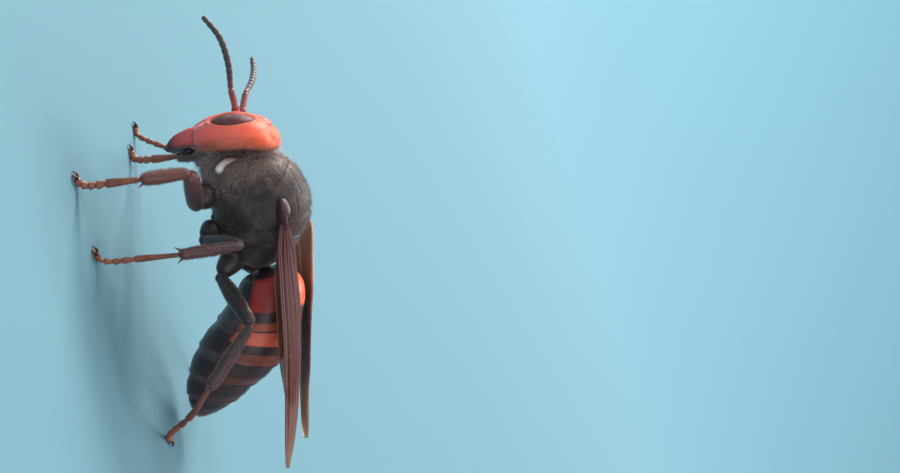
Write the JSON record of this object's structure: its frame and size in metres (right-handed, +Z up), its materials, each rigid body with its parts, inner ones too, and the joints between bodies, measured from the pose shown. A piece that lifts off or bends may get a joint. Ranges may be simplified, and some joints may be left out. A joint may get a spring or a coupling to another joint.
{
  "type": "asian giant hornet, life-size still model",
  "caption": "Life-size still model of an Asian giant hornet worker, standing with its gaster curled down and its wings folded back.",
  "frame": {"origin": "on the floor plane, under the middle of the whole model's length and span", "axes": "+X forward along the body to the antenna tips, +Y to the hornet's left, +Z up"},
  "size_m": [0.0564, 0.0365, 0.0244],
  "materials": {
    "head_orange": "satin orange cuticle, redder towards the mouth, finely pitted, with short pale hairs",
    "eye_dark": "very dark brown compound eye, glossy, with fine facets",
    "mandible_brown": "dark red-brown polished cuticle, near black at the toothed edge",
    "scape_red": "satin red-brown cuticle",
    "flagellum_brown": "matt dark grey-brown, ringed",
    "thorax_brown": "black-brown cuticle, finely pitted, under short brown pile",
    "gaster_banded": "polished dark brown cuticle with orange and red-brown bands",
    "leg_brown": "satin cuticle, near black at the hip and red-brown at the knee and shin",
    "tarsus_amber": "satin orange-brown cuticle with fine bristles",
    "wing_amber": "translucent smoky amber membrane with red-brown veins, pleated lengthwise"
  },
  "bodies": {
    "root": {"head": "head_orange", "eye_left": "eye_dark", "eye_right": "eye_dark", "mandible_left": "mandible_brown", "mandible_right": "mandible_brown", "scape_left": "scape_red", "scape_right": "scape_red", "flagellum_left": "flagellum_brown", "flagellum_right": "flagellum_brown", "pronotum": "thorax_brown", "mesothorax": "thorax_brown", "scutellum": "thorax_brown", "propodeum": "thorax_brown", "tegula_left": "mandible_brown", "tegula_right": "mandible_brown", "forewing_left": "wing_amber", "forewing_right": "wing_amber", "hindwing_left": "wing_amber", "hindwing_right": "wing_amber", "gaster_1": "gaster_banded", "gaster_2": "gaster_banded", "gaster_3": "gaster_banded", "gaster_4": "gaster_banded", "gaster_5": "gaster_banded", "gaster_6": "gaster_banded", "coxa_fore_left": "leg_brown", "femur_fore_left": "leg_brown", "tibia_fore_left": "leg_brown", "tarsus_fore_left": "tarsus_amber", "coxa_fore_right": "leg_brown", "femur_fore_right": "leg_brown", "tibia_fore_right": "leg_brown", "tarsus_fore_right": "tarsus_amber", "coxa_mid_left": "leg_brown", "femur_mid_left": "leg_brown", "tibia_mid_left": "leg_brown", "tarsus_mid_left": "tarsus_amber", "coxa_mid_right": "leg_brown", "femur_mid_right": "leg_brown", "tibia_mid_right": "leg_brown", "tarsus_mid_right": "tarsus_amber", "coxa_hind_left": "leg_brown", "femur_hind_left": "leg_brown", "tibia_hind_left": "leg_brown", "tarsus_hind_left": "tarsus_amber", "coxa_hind_right": "leg_brown", "femur_hind_right": "leg_brown", "tibia_hind_right": "leg_brown", "tarsus_hind_right": "tarsus_amber"}
  },
  "joints": []
}
